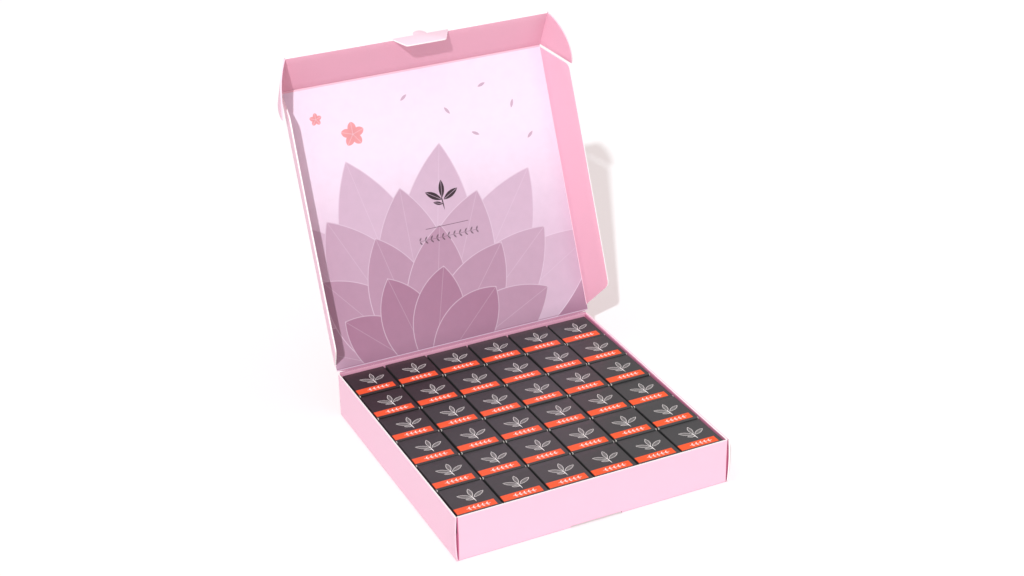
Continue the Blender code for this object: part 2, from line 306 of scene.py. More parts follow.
def tab_axes():
    """Axes of the lock tab, folded in by its joint's whole range."""
    angle = math.radians(JOINTS["tab_fold"]["range_deg"][1])
    parent = tuck_axes().to_3x3()
    along = parent.col[1] * math.cos(angle) + parent.col[2] * math.sin(angle)
    return panel_axes(joint_point("tab_fold"), ACROSS, along)


def arc(centre, radius, start, end, facets):
    """Points along an arc, angles in radians."""
    points = []
    for step in range(facets + 1):
        angle = start + (end - start) * step / facets
        points.append((centre[0] + radius * math.cos(angle), centre[1] + radius * math.sin(angle)))
    return points


def rounded_outline(corners):
    """Closes a polygon of (x, y, radius) corners, with an arc at each corner that has a radius."""
    outline = []
    count = len(corners)
    for index, (x, y, radius) in enumerate(corners):
        here = Vector((x, y))
        if radius == 0:
            outline.append((x, y))
            continue
        before = (Vector(corners[index - 1][:2]) - here).normalized()
        after = (Vector(corners[(index + 1) % count][:2]) - here).normalized()
        half_angle = before.angle(after) / 2
        centre = here + (before + after).normalized() * radius / math.sin(half_angle)
        first = here + before * radius / math.tan(half_angle) - centre
        last = here + after * radius / math.tan(half_angle) - centre
        start = math.atan2(first.y, first.x)
        sweep = -first.angle_signed(last)
        outline.extend(arc(centre, radius, start, start + sweep, CORNER_FACETS))
    return outline


def mirrored(outline):
    """Mirrors an outline left to right, keeping its direction."""
    return [(-x, y) for x, y in reversed(outline)]


def prism(outline, low, high):
    """Extrudes an outline in the XY plane from low to high."""
    builder = bmesh.new()
    face = builder.faces.new([builder.verts.new((x, y, low)) for x, y in outline])
    extruded = bmesh.ops.extrude_face_region(builder, geom=[face])
    for item in extruded["geom"]:
        if isinstance(item, bmesh.types.BMVert):
            item.co.z = high
    bmesh.ops.recalc_face_normals(builder, faces=builder.faces)
    return builder


def bevel(builder, chosen, radius, facets):
    """Rounds the edges that the test picks."""
    edges = [edge for edge in builder.edges if chosen(edge)]
    bmesh.ops.bevel(builder, geom=edges, offset=radius, segments=facets, profile=0.5,
                    affect="EDGES", clamp_overlap=False)


def slice_across(builder, axis, places):
    """Cuts a mesh's faces along planes across an axis, without taking anything away."""
    normal = Vector((0, 0, 0))
    normal[axis] = 1
    for place in places:
        parts = builder.verts[:] + builder.edges[:] + builder.faces[:]
        bmesh.ops.bisect_plane(builder, geom=parts, dist=TOUCH / 10, plane_co=normal * place,
                               plane_no=normal)


def spread(low, high, count):
    """Evenly spaced places between two ends, the ends left out."""
    return [low + (high - low) * (step + 1) / (count + 1) for step in range(count)]


def edge_at(edge, axis, value):
    """Tells whether both ends of an edge have the value on the axis."""
    return all(abs(vertex.co[axis] - value) < TOUCH for vertex in edge.verts)


def edge_along(edge, axis):
    """Tells whether an edge is parallel to the axis."""
    direction = (edge.verts[1].co - edge.verts[0].co).normalized()
    return abs(direction[axis]) > PARALLEL


def add_bead(builder, start, end, radius, material):
    """Adds a round bead between two points, as paper stretched over a fold or a score line."""
    start = Vector(start)
    end = Vector(end)
    way = end - start
    turn = way.to_track_quat("Z", "Y").to_matrix().to_4x4()
    place = Matrix.Translation((start + end) / 2) @ turn
    made = bmesh.ops.create_cone(builder, cap_ends=True, segments=BEAD_FACETS, radius1=radius,
                                 radius2=radius, depth=way.length, matrix=place)
    for face in {face for vertex in made["verts"] for face in vertex.link_faces}:
        face.material_index = material


def new_object(name, data):
    """Adds an object to the scene."""
    added = bpy.data.objects.new(name, data)
    bpy.context.scene.collection.objects.link(added)
    return added


def object_from(name, builder):
    """Turns a bmesh into an object of the scene, without finishes."""
    mesh = bpy.data.meshes.new(name)
    builder.to_mesh(mesh)
    builder.free()
    return new_object(name, mesh)


def mesh_from(name, builder, finishes):
    """Turns a bmesh into a smooth-shaded mesh with its finishes."""
    mesh = bpy.data.meshes.new(name)
    builder.to_mesh(mesh)
    builder.free()
    for finish in finishes:
        mesh.materials.append(finish)
    mesh.shade_smooth()
    mesh.set_sharp_from_angle(angle=SMOOTH_ANGLE)
    return mesh


def add_side_beads(builder, across, start, end, height, radius, material):
    """Adds a bead beside each side edge of a panel."""
    for side in SIDES.values():
        add_bead(builder, (side * across, start, height), (side * across, end, height), radius,
                 material)


def add_piece(name, builder, finishes, axes, body, node, settle=False):
    """Makes a piece from its mesh, lets it stand for its node and ride on its body.

    A settled piece has its place worked into its mesh, so its box fits it closely.
    """
    mesh = mesh_from(name, builder, finishes)
    if settle:
        mesh.transform(axes)
        axes = Matrix.Identity(4)
    piece = new_object(name, mesh)
    piece.matrix_world = axes
    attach(piece, body)
    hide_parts(node)
    return piece


# The seam, slot and hinge finishes carry painted shade, the hinge's partly print
INSIDE, OUTSIDE, CORE, FOLD, SEAM_SHADE, HINGE_PRINT_AND_SHADE, SLOT_SHADE = range(7)

# How far the score line that the lid bends along lies from its hinge
HINGE_SCORE = 0.0032


def cut_board(outline, bow=None, columns=0, rows=0):
    """Cuts an outline from board, rounds its cut edges a little and bows it out of flat."""
    half = sizes().thickness / 2
    builder = prism(outline, -half, half)
    bevel(builder, lambda edge: edge_at(edge, 2, half) or edge_at(edge, 2, -half),
          sizes().cut_rounding, 2)
    for face in builder.faces:
        if abs(face.normal.z) < PARALLEL:
            face.material_index = CORE
        else:
            face.material_index = INSIDE if face.normal.z > 0 else OUTSIDE
    if bow is not None:
        for axis, count in ((0, columns), (1, rows)):
            reach = [corner[axis] for corner in outline]
            slice_across(builder, axis, spread(min(reach), max(reach), count))
        for vertex in builder.verts:
            vertex.co.z += bow(vertex.co.x, vertex.co.y)
    return builder


def new_finish(name, roughness):
    """Starts a material, with its shader and the place on the piece in its own axes, in metres."""
    finish = bpy.data.materials.new(name)
    finish.use_nodes = True
    shader = finish.node_tree.nodes["Principled BSDF"]
    shader.inputs["Roughness"].default_value = roughness
    point = finish.node_tree.nodes.new("ShaderNodeTexCoord").outputs["Object"]
    return finish, shader, point


def feed(node, inputs):
    """Links sockets to a node's inputs, or sets their values."""
    for key, value in inputs.items():
        if isinstance(value, bpy.types.NodeSocket):
            node.id_data.links.new(value, node.inputs[key])
        else:
            node.inputs[key].default_value = value


def add_node(kind, inputs, **settings):
    """Adds a node beside those that feed it, with its settings and its inputs."""
    sockets = [value for value in inputs.values() if isinstance(value, bpy.types.NodeSocket)]
    node = sockets[0].id_data.nodes.new(kind)
    for name, value in settings.items():
        setattr(node, name, value)
    feed(node, inputs)
    return node


def calculate(operation, *values, clamp=False):
    """Works out a number from numbers or sockets."""
    inputs = dict(enumerate(values))
    return add_node("ShaderNodeMath", inputs, operation=operation,
                    use_clamp=clamp).outputs[0]


def product(*values):
    """Multiplies numbers or sockets with one another."""
    result = values[0]
    for value in values[1:]:
        result = calculate("MULTIPLY", result, value)
    return result


def multiply_add(value, factor, offset):
    """Multiplies a value by a factor and adds an offset."""
    return calculate("MULTIPLY_ADD", value, factor, offset)


def absolute(value):
    """A value without its sign."""
    return calculate("ABSOLUTE", value)


def rise(value, start, end):
    """Rises smoothly from 0 to 1 as a value goes from start to end."""
    inputs = {"Value": value, "From Min": start, "From Max": end}
    node = add_node("ShaderNodeMapRange", inputs, interpolation_type="SMOOTHSTEP")
    return node.outputs["Result"]


def painted(tint):
    """A colour as a node's input takes it: a socket, or three linear values and full cover."""
    return tint if isinstance(tint, bpy.types.NodeSocket) else (*tint, 1.0)


def blend_colours(share, first, second):
    """Mixes two colours, given as sockets or as three linear values."""
    inputs = {0: share, 6: painted(first), 7: painted(second)}
    return add_node("ShaderNodeMix", inputs, data_type="RGBA").outputs[2]


def shade_colour(tint, factor):
    """Makes a colour darker or lighter by a factor."""
    inputs = {"Value": factor, "Color": painted(tint)}
    return add_node("ShaderNodeHueSaturation", inputs).outputs["Color"]


def speckle(point, size, detail=3.0, stretch=(1, 1, 1)):
    """Noise whose blotches are about as large as size, in metres."""
    stretched = add_node("ShaderNodeMapping", {"Vector": point, "Scale": stretch})
    inputs = {"Vector": stretched.outputs["Vector"], "Scale": 1 / size, "Detail": detail,
              "Roughness": 0.55}
    return add_node("ShaderNodeTexNoise", inputs).outputs[0]


def split_point(point):
    """A point's x, y and z."""
    node = add_node("ShaderNodeSeparateXYZ", {"Vector": point})
    return node.outputs[0], node.outputs[1], node.outputs[2]


def uneven_gloss(shader, smudge, roughness):
    """Lets the roughness wander a little with a noise."""
    feed(shader, {"Roughness": multiply_add(smudge, 0.16, roughness - 0.08)})


def add_relief(shader, height, strength, distance):
    """Gives a surface fine relief."""
    inputs = {"Height": height, "Strength": strength, "Distance": distance}
    relief = add_node("ShaderNodeBump", inputs)
    feed(shader, {"Normal": relief.outputs["Normal"]})


def paper_surface(shader, point, tint, roughness, mottle=0.03):
    """Gives paper its colour with slight mottling, uneven gloss, fine grain and soft waves."""
    cloudy = speckle(point, 0.02)
    fibres = speckle(point, 0.0014, 4.0)
    both = multiply_add(fibres, 0.4, product(cloudy, 0.6))
    factor = multiply_add(both, 2 * mottle, 1 - mottle)
    feed(shader, {"Base Color": shade_colour(tint, factor)})
    uneven_gloss(shader, cloudy, roughness)
    grain = speckle(point, 0.00035, 2.0)
    height = multiply_add(speckle(point, 0.035, 1.0), 6.0, grain)
    add_relief(shader, height, 0.18, 0.00006)


def liner_finish(name, tint, roughness=0.52):
    """Coated paper in one colour, pasted on the board, made once for all its pieces."""
    if name in bpy.data.materials:
        return bpy.data.materials[name]
    finish, shader, point = new_finish(name, roughness)
    paper_surface(shader, point, tint, roughness)
    return finish


def tray_finish(name, tint, worn, side_shade_tint=None):
    """Coated paper on the tray, paler where it is stretched over a fold; a side tint, when given,
    is painted shade on the side walls' inner faces.
    """
    finish, shader, point = new_finish(name, 0.5)
    x, y, z = split_point(point)
    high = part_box("tray")[1]
    tall = sizes().wall_height
    aside = absolute(x)
    # The side walls' inner faces take the deeper tint: painted shade
    if side_shade_tint is not None:
        inner_face = high.x - sizes().rolled_wall
        on_shaded_side = rise(aside, inner_face - 0.0008, inner_face - 0.0001)
        tint = blend_colours(on_shaded_side, tint, side_shade_tint)
    reach = 0.0016
    near_side = rise(aside, high.x - reach, high.x)
    near_end = rise(absolute(y), high.y - reach, high.y)
    edges = strongest((rise(z, reach, 0.0), rise(z, tall - reach, tall - 0.0002),
                      product(near_side, near_end)))
    patchy = rise(speckle(point, 0.004), 0.35, 0.7)
    wear = product(edges, multiply_add(patchy, 0.35, 0.3))
    paper_surface(shader, point, blend_colours(wear, tint, worn), 0.5)
    return finish


def core_finish(name, tint):
    """A cut edge of board or card: soft white fibre with faint layers."""
    if name in bpy.data.materials:
        return bpy.data.materials[name]
    finish, shader, point = new_finish(name, 0.85)
    layers = speckle(point, 0.0005, 3.0, (0.25, 0.25, 1.6))
    feed(shader, {"Base Color": shade_colour(tint, multiply_add(layers, 0.14, 0.92)),
                  "Roughness": multiply_add(layers, 0.2, 0.75)})
    add_relief(shader, layers, 0.3, 0.0001)
    return finish


def leaf_group():
    """A node group that draws a pointed leaf between two equal circles that overlap."""
    name = "pointed_leaf"
    if name in bpy.data.node_groups:
        return bpy.data.node_groups[name]
    group = bpy.data.node_groups.new(name, "ShaderNodeTree")
    for label in ("Point", "Centre", "Turn", "Radius", "Offset", "Half Length", "Soft"):
        kind = "Vector" if label in ("Point", "Centre") else "Float"
        group.interface.new_socket(name=label, in_out="INPUT", socket_type="NodeSocket" + kind)
    for label in ("Inside", "Rim", "Rib", "Along"):
        group.interface.new_socket(name=label, in_out="OUTPUT", socket_type="NodeSocketFloat")
    given = group.nodes.new("NodeGroupInput").outputs
    moved = add_node("ShaderNodeVectorMath", {0: given["Point"], 1: given["Centre"]},
                     operation="SUBTRACT")
    turn = {"Vector": moved.outputs[0], "Angle": given["Turn"]}
    turned = add_node("ShaderNodeVectorRotate", turn, rotation_type="Z_AXIS")
    x, y = split_point(turned.outputs[0])[:2]
    across = absolute(x)
    shifted = calculate("ADD", across, given["Offset"])
    squares = multiply_add(y, y, product(shifted, shifted))
    distance = calculate("SUBTRACT", calculate("SQRT", squares), given["Radius"])
    depth = calculate("DIVIDE", distance, given["Soft"])
    inside = rise(depth, 0.5, -0.5)
    rim = product(inside, rise(depth, -3.2, -1.6))
    rib_line = rise(calculate("DIVIDE", across, given["Soft"]), 1.3, 0.3)
    rib = product(inside, rib_line)
    share = calculate("DIVIDE", y, given["Half Length"])
    along = calculate("MULTIPLY_ADD", share, 0.5, 0.5, clamp=True)
    add_node("NodeGroupOutput", {0: inside, 1: rim, 2: rib, 3: along})
    return group


def draw_leaf(point, centre, turn_deg, long, wide, soft=0.0003):
    """Draws a leaf with its middle at centre, turned clockwise from upright."""
    half_long = long / 2
    half_wide = wide / 2
    radius = (half_long ** 2 + half_wide ** 2) / (2 * half_wide)
    inputs = {"Point": point, "Centre": (*centre, 0.0), "Turn": math.radians(turn_deg),
              "Radius": radius, "Offset": radius - half_wide, "Half Length": half_long,
              "Soft": soft}
    return add_node("ShaderNodeGroup", inputs, node_tree=leaf_group()).outputs


def flat_point(point):
    """A point laid onto the piece's own XY plane."""
    return add_node("ShaderNodeVectorMath", {0: point, 1: (1, 1, 0)},
                    operation="MULTIPLY").outputs[0]


def moved_point(point, centre):
    """A point as it lies from a centre in the piece's own XY plane."""
    return add_node("ShaderNodeVectorMath", {0: point, 1: (*centre, 0.0)},
                    operation="SUBTRACT").outputs[0]


def petal_point(point, centre, petals):
    """Folds the plane round a centre, so that one upright petal becomes a ring of them."""
    moved = moved_point(point, centre)
    x, y = split_point(moved)[:2]
    step = math.pi / petals
    folded = calculate("WRAP", calculate("ARCTAN2", x, y), step, -step)
    reach = add_node("ShaderNodeVectorMath", {0: moved},
                     operation="LENGTH").outputs["Value"]
    node = add_node("ShaderNodeCombineXYZ", {
        0: product(reach, calculate("SINE", folded)),
        1: product(reach, calculate("COSINE", folded))})
    return node.outputs[0]


def row_point(point, centre, step):
    """Folds the plane along a row, so that one leaf repeats on both sides of a stem."""
    x, y = split_point(moved_point(point, centre))[:2]
    folded = calculate("WRAP", x, step / 2, -step / 2)
    return add_node("ShaderNodeCombineXYZ", {0: folded, 1: absolute(y)}).outputs[0]


def strongest(masks):
    """Joins masks, keeping the strongest at each place."""
    joined = masks[0]
    for mask in masks[1:]:
        joined = calculate("MAXIMUM", joined, mask)
    return joined


def line_mask(value, centre, half_width, soft=0.0002):
    """A straight line: 1 where a value lies near its centre, falling softly to 0."""
    away = absolute(calculate("SUBTRACT", value, centre))
    return rise(away, half_width + soft, half_width - soft)


def bar_mask(x, y, middle, half_width, half_height, soft=0.0002):
    """A straight bar, lying along x."""
    return product(line_mask(x, middle[0], half_width, soft),
                   line_mask(y, middle[1], half_height, soft))


# A leaf of the sprig that is narrower than this share of its width is the stem
STEM_WIDTH = 0.05

# A tea sprig for a unit width: middle of each leaf, turn in degrees, length, width
SPRIG = (((0.03, 0.22), 6, 0.52, 0.17), ((-0.25, 0.06), -58, 0.56, 0.19),
         ((0.28, 0.03), 62, 0.54, 0.18), ((-0.15, -0.17), -72, 0.30, 0.10),
         ((0.0, -0.17), -4, 0.46, 0.035))


def sprig_mask(point, centre, width, soft=0.0003, body=1.0):
    """Two leaves and a bud on a stem, with a smaller leaf below, filled or drawn in lines."""
    masks = []
    for middle, turn, long, wide in SPRIG:
        place = (centre[0] + middle[0] * width, centre[1] + middle[1] * width)
        leaf = draw_leaf(point, place, turn, long * width, wide * width, soft)
        if wide < STEM_WIDTH:
            masks.append(leaf["Inside"])
            continue
        opened = multiply_add(leaf["Rib"], -0.8, 1.0)
        filled = product(leaf["Inside"], opened, body)
        masks.append(calculate("MAXIMUM", filled, leaf["Rim"]))
    return strongest(masks)


def vine_mask(point, x, y, centre, half_width, step, soft=0.0002):
    """A fine row of paired leaves on a thin stem."""
    folded = row_point(point, centre, step)
    leaf = draw_leaf(folded, (0.0, step * 0.3), 38, step * 0.75, step * 0.26, soft)
    ends = bar_mask(x, y, centre, half_width, step, soft)
    stem = bar_mask(x, y, centre, half_width, soft, soft)
    return calculate("MAXIMUM", product(leaf["Inside"], ends), stem)


# Rows of a water lily's petals, back to front: spread of angles, count, length, width, tone
LILY_ROOT = (-0.045, -0.030)
LILY_ROWS = ((62, 6, 0.270, 0.100, 0.10), (50, 5, 0.222, 0.094, 0.34),
             (66, 6, 0.176, 0.078, 0.60), (48, 4, 0.128, 0.066, 0.88))
BLOSSOMS = (((-0.088, 0.262), 0.0250, 5), ((-0.128, 0.286), 0.0130, 5))
DRIFTING_PETALS = (((-0.020, 0.292), 55), ((0.030, 0.268), -35), ((0.078, 0.290), 72),
                   ((0.112, 0.262), 20), ((0.060, 0.236), -62), ((0.128, 0.222), 48))


def between(first, second, share):
    """A colour that lies between two, by a share of the way."""
    return [start + (end - start) * share for start, end in zip(first, second)]


def lily_petals(point, ground):
    """Paints the big water-lily petals that fill the lower half of the lid."""
    colours = paper()
    for fan, count, long, wide, tone in LILY_ROWS:
        root = between(colours.lilac, colours.mauve, tone)
        tip = between(colours.lilac, colours.mauve, min(1.0, tone + 0.16))
        for step in range(count):
            turn = -fan + 2 * fan * step / (count - 1)
            way = (math.sin(math.radians(turn)), math.cos(math.radians(turn)))
            middle = (LILY_ROOT[0] + way[0] * long / 2, LILY_ROOT[1] + way[1] * long / 2)
            petal = draw_leaf(point, middle, turn, long, wide, 0.0004)
            tint = blend_colours(petal["Along"], root, tip)
            ground = blend_colours(petal["Inside"], ground, tint)
            line = multiply_add(petal["Rim"], 0.45, product(petal["Rib"], 0.22))
            ground = blend_colours(line, ground, colours.pale)
    return ground


def blossoms(point, ground):
    """Paints the coral blossoms and the petals that drift off them."""
    colours = paper()
    for centre, reach, petals in BLOSSOMS:
        folded = petal_point(point, centre, petals)
        petal = draw_leaf(folded, (0.0, reach * 0.29), 0, reach * 0.56, reach * 0.40)
        shade = multiply_add(petal["Along"], 0.10, 0.94)
        tint = shade_colour(colours.coral, shade)
        ground = blend_colours(petal["Inside"], ground, tint)
        ground = blend_colours(product(petal["Rib"], 0.5), ground, colours.pale)
    for centre, turn in DRIFTING_PETALS:
        petal = draw_leaf(point, centre, turn, 0.0105, 0.0034)
        ground = blend_colours(product(petal["Inside"], 0.6), ground, colours.mauve)
    return ground


def lid_ornament(point, x, y):
    """The dark sprig in the middle of the lid, with a rule and a fine vine under it."""
    sprig = sprig_mask(point, (0.004, 0.172), 0.040)
    rule = bar_mask(x, y, (0.004, 0.1385), 0.027, 0.00025)
    vine = vine_mask(point, x, y, (0.004, 0.126), 0.037, 0.0072)
    return strongest((sprig, rule, product(vine, 0.7)))


def print_finish():
    """The print inside the lid: a pale ground, lily petals, blossoms and a small ornament."""
    colours = paper()
    finish, shader, whole = new_finish("lid_print", 0.46)
    point = flat_point(whole)
    x, y = split_point(point)[:2]
    share = calculate("DIVIDE", y, lid_length())
    washed = multiply_add(speckle(point, 0.06), 0.10, share)
    upper = blend_colours(rise(washed, 0.30, 0.82), colours.lilac, colours.pale)
    ground = blend_colours(rise(washed, 0.02, 0.36), colours.mauve, upper)
    ground = lily_petals(point, ground)
    ground = blossoms(point, ground)
    wash = multiply_add(speckle(point, 0.012, 5.0), 0.10, 0.95)
    ground = shade_colour(ground, wash)
    ground = blend_colours(lid_ornament(point, x, y), ground, colours.ink)
    paper_surface(shader, whole, fold_lines(y, ground), 0.46, 0.012)
    return finish


def fold_lines(y, ground):
    """Draws the lines by the hinge and the front fold: a mauve line past the score, a band of hinge
    paper (partly print, partly painted shade), the rubbed line along the hinge's score, the bare
    strip at the front fold and a painted shadow in its crease.
    """
    colours = paper()
    end = lid_length()
    for centre, half_width, tint, strength in (
            (HINGE_SCORE + 0.0012, 0.0006, colours.mauve, 0.6),
            # A band of hinge paper between the hinge and the score: partly print, partly painted
            # shade
            (HINGE_SCORE - 0.0022, 0.0018, colours.hinge, 0.9),
            (HINGE_SCORE, 0.0005, colours.lilac, 0.9),
            (end - 0.0014, 0.0012, colours.margin, 1.0),
            # A painted shadow in the front fold's crease
            (end, 0.00055, colours.crease, 0.9)):
        line = product(line_mask(y, centre, half_width), strength)
        ground = blend_colours(line, ground, tint)
    return ground


def charcoal_finish():
    """A carton's top: satin charcoal card with a band, a pale sprig and a fine vine."""
    looks = cartons()
    finish, shader, whole = new_finish("charcoal_top", 0.4)
    point = flat_point(whole)
    x, y = split_point(point)[:2]
    low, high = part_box("carton_1_1")
    half_width = (high.x - low.x) / 2
    depth = high.y - low.y
    # The tone holds each carton's own tone and a painted reflection by its place; it sets the
    # card's darkness, its brown and the band's shade
    attribute = finish.node_tree.nodes.new("ShaderNodeAttribute")
    attribute.attribute_name = "tone"
    tone = attribute.outputs["Fac"]
    mottle = multiply_add(speckle(point, 0.006, 4.0), 0.12, tone)
    ground = blend_colours(rise(tone, 0.62, 0.86), looks.brown, looks.charcoal)
    ground = shade_colour(ground, mottle)

    middle = (-half_width * 0.11, depth * (0.5 - 0.834))
    band = bar_mask(x, y, middle, half_width * 0.89, depth * 0.101)
    tint = shade_colour(looks.band, multiply_add(tone, 0.1, 0.88))
    ground = blend_colours(band, ground, tint)
    vine = vine_mask(point, x, y, (middle[0] + 0.004, middle[1]), 0.0135, 0.0050, 0.00024)
    ground = blend_colours(product(vine, 0.9), ground, looks.pale)
    place = (half_width * 0.10, depth * 0.045)
    sprig = sprig_mask(point, place, 0.029, 0.00018, 0.14)
    ground = blend_colours(sprig, ground, looks.pale)
    feed(shader, {"Base Color": ground})
    card_gloss(shader, whole, 0.36)
    return finish


def card_gloss(shader, point, roughness):
    """Gives carton card its uneven satin gloss and fine tooth."""
    smudge = speckle(point, 0.009, 3.0)
    uneven_gloss(shader, smudge, roughness)
    height = multiply_add(smudge, 4.0, speckle(point, 0.0003, 2.0))
    add_relief(shader, height, 0.15, 0.00004)


def charcoal_side_finish():
    """A carton's walls: charcoal card, rubbed paler along its upright folds."""
    looks = cartons()
    finish, shader, point = new_finish("charcoal_side", 0.45)
    x, y = split_point(point)[:2]
    low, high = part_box("carton_1_1")
    half = (high - low) / 2
    near_x = rise(absolute(x), half.x - 0.0010, half.x - 0.0003)
    near_y = rise(absolute(y), half.y - 0.0010, half.y - 0.0003)
    rubbed = rise(speckle(point, 0.003), 0.40, 0.65)
    wear = product(near_x, near_y, rubbed, 0.5)
    feed(shader, {"Base Color": blend_colours(wear, looks.charcoal, looks.edge)})
    card_gloss(shader, point, 0.42)
    return finish


def board_finishes(inside):
    """A panel's finishes in their order: inside, outside, cut edge, fold."""
    colours = paper()
    return [inside, liner_finish("outer_liner", colours.outside),
            core_finish("board_core", colours.core), liner_finish("fold_liner", colours.fold)]


def flap_liner():
    """The warm pink paper inside the flaps."""
    return liner_finish("flap_liner", paper().flap, 0.55)


def box_builder(low, high):
    """A plain block between two corners."""
    builder = bmesh.new()
    bmesh.ops.create_cube(builder, size=1.0)
    for vertex in builder.verts:
        for axis in range(3):
            vertex.co[axis] = high[axis] if vertex.co[axis] > 0 else low[axis]
    return builder


def combine(target, builder, operation):
    """Cuts a shape from the target, or joins it on, and keeps the result as its mesh."""
    bmesh.ops.recalc_face_normals(builder, faces=builder.faces)
    tool = object_from("tool", builder)
    modifier = target.modifiers.new("combine", "BOOLEAN")
    modifier.operation = operation
    modifier.solver = "EXACT"
    modifier.object = tool
    bpy.context.view_layer.update()
    evaluated = target.evaluated_get(bpy.context.evaluated_depsgraph_get())
    target.data = bpy.data.meshes.new_from_object(evaluated)
    target.modifiers.clear()
    bpy.data.objects.remove(tool, do_unlink=True)


def seam_cutter(side):
    """The open seam beside the front wall: a slim spindle, the wall's end rounded over."""
    board = sizes()
    low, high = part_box("tray")
    outer = high.x - board.seam_place
    facets = 16
    rounding = 0.0010
    depths = [-board.thickness] + [rounding * step / FOLD_FACETS for step in range(FOLD_FACETS + 1)]
    depths.append(board.seam_depth)
    builder = bmesh.new()
    rings = []
    for depth in depths:
        back = min(max(rounding - depth, 0.0), rounding)
        opening = rounding - math.sqrt(rounding ** 2 - back ** 2)
        points = [(outer, board.thickness)]
        for step in range(facets + 1):
            share = step / facets
            gap = board.seam_end + (board.seam_middle - board.seam_end) * math.sin(math.pi * share)
            points.append((outer - gap - opening, board.thickness + board.wall_height * share))
        points.append((outer, board.thickness + board.wall_height))
        rings.append([builder.verts.new((side * x, low.y + depth, z)) for x, z in points])
    for near, far in zip(rings, rings[1:]):
        for index, corner in enumerate(near):
            nxt = (index + 1) % len(near)
            builder.faces.new((corner, near[nxt], far[nxt], far[index]))
    builder.faces.new(rings[0])
    builder.faces.new(rings[-1])
    return builder


def tray_shell():
    """Folds up the tray: floor, walls, rolled edges, corner seams and lock slot."""
    board = sizes()
    low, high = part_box("tray")
    wide, deep, tall = high.x, high.y, board.wall_height
    outline = rounded_outline([(-wide, -deep, 0), (wide, -deep, 0), (wide, deep, board.back_fold),
                               (-wide, deep, board.back_fold)])
    block = prism(outline, 0, tall)
    bevel(block, lambda edge: edge_at(edge, 2, 0), board.bottom_fold, FOLD_FACETS)
    shell = object_from("tray_board", block)
    inside_x = wide - board.rolled_wall
    inside_y = deep - board.thickness
    combine(shell, box_builder((-inside_x, -inside_y, board.thickness),
                               (inside_x, inside_y, tall * 2)), "DIFFERENCE")

    builder = bmesh.new()
    builder.from_mesh(shell.data)

    def rolled(edge):
        middle = (edge.verts[0].co + edge.verts[1].co) / 2
        return (edge_at(edge, 2, tall) and edge_along(edge, 1)
                and middle.x > inside_x - TOUCH and edge.calc_length() > deep)

    bevel(builder, rolled, board.rolled_edge, FOLD_FACETS)
    bmesh.ops.recalc_face_normals(builder, faces=builder.faces)
    builder.to_mesh(shell.data)
    builder.free()
    combine(shell, box_builder((-wide + board.thickness, -inside_y, board.left_lining),
                               (-inside_x + board.thickness, inside_y, tall * 2)), "DIFFERENCE")
    for side in SIDES.values():
        combine(shell, seam_cutter(side), "DIFFERENCE")
    half_slot = board.slot_width / 2
    combine(shell, box_builder((-half_slot, -deep - board.thickness, -board.thickness),
                               (half_slot, -deep + board.slot_depth, board.slot_height)),
            "DIFFERENCE")
    return shell


# Half the length of the strip that the lid hinges on
RAIL_HALF = 0.1576


def hinge_rail():
    """The back wall's top strip, rounded over where the lid's crease bends."""
    board = sizes()
    hinge = joint_point("lid_hinge")
    half = board.thickness / 2
    foot = board.wall_height - board.thickness
    outline = [(hinge.y - half, foot), *arc((hinge.y, hinge.z), half, math.pi, 0, 2 * FOLD_FACETS),
               (hinge.y + half, foot)]
    builder = prism(outline, -RAIL_HALF, RAIL_HALF)
    for vertex in builder.verts:
        y, z, x = vertex.co
        vertex.co = (x, y, z)
    bmesh.ops.recalc_face_normals(builder, faces=builder.faces)
    return builder


def paint_tray(builder):
    """Tells the tray's inner faces, outer faces, cut edges and stretched folds apart, and the
    seams, slot and hinge, whose paper carries painted shade.
    """
    board = sizes()
    wide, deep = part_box("tray")[1][:2]
    tall = board.wall_height
    shoulder = wide - board.rolled_wall / 2
    slice_across(builder, 0, (-wide + board.rolled_wall, wide - board.rolled_wall, shoulder))
    slice_across(builder, 1, (-deep + board.thickness, deep - board.thickness))
    for face in builder.faces:
        middle = face.calc_center_median()
        aside = abs(middle.x)
        faces_up = face.normal.z > FACING
        on_left = middle.x < -wide + board.thickness + TOUCH
        over_left = on_left and middle.z > tall - TOUCH
        over_front = middle.z > tall - TOUCH and middle.y < 0
        over_right = middle.z > tall - board.rolled_edge and middle.x > shoulder
        at_front = middle.y < -deep + TOUCH and face.normal.y < -FACING
        in_seam = middle.y < -deep + board.seam_depth + TOUCH and aside > wide - board.rolled_wall
        in_slot = (aside < board.slot_width / 2 + TOUCH and middle.z < board.slot_height + TOUCH
                   and middle.y < -deep + board.slot_depth + TOUCH)
        outermost = aside > wide - TOUCH or abs(middle.y) > deep - TOUCH or middle.z < TOUCH
        if over_left and faces_up:
            finish = CORE
        elif over_right and face.normal.z > SLOPING:
            finish = FOLD
        # The rail's front half takes the hinge paper: partly print, partly painted shade in the
        # crease
        elif middle.z > tall + TOUCH:
            over_top = middle.y < joint_point("lid_hinge").y + board.thickness / 4
            finish = HINGE_PRINT_AND_SHADE if over_top else OUTSIDE
        elif over_front and faces_up:
            finish = CORE
        elif at_front and aside > wide - board.seam_place - TOUCH:
            finish = CORE
        elif outermost:
            finish = OUTSIDE
        # The slot's faces take dark paper: painted shade deep in the recess
        elif in_slot:
            finish = SLOT_SHADE
        # The seams' faces take dark paper: painted shade deep in the recesses
        elif in_seam and abs(face.normal.z) < STEEP:
            finish = SEAM_SHADE
        else:
            finish = INSIDE
        face.material_index = finish


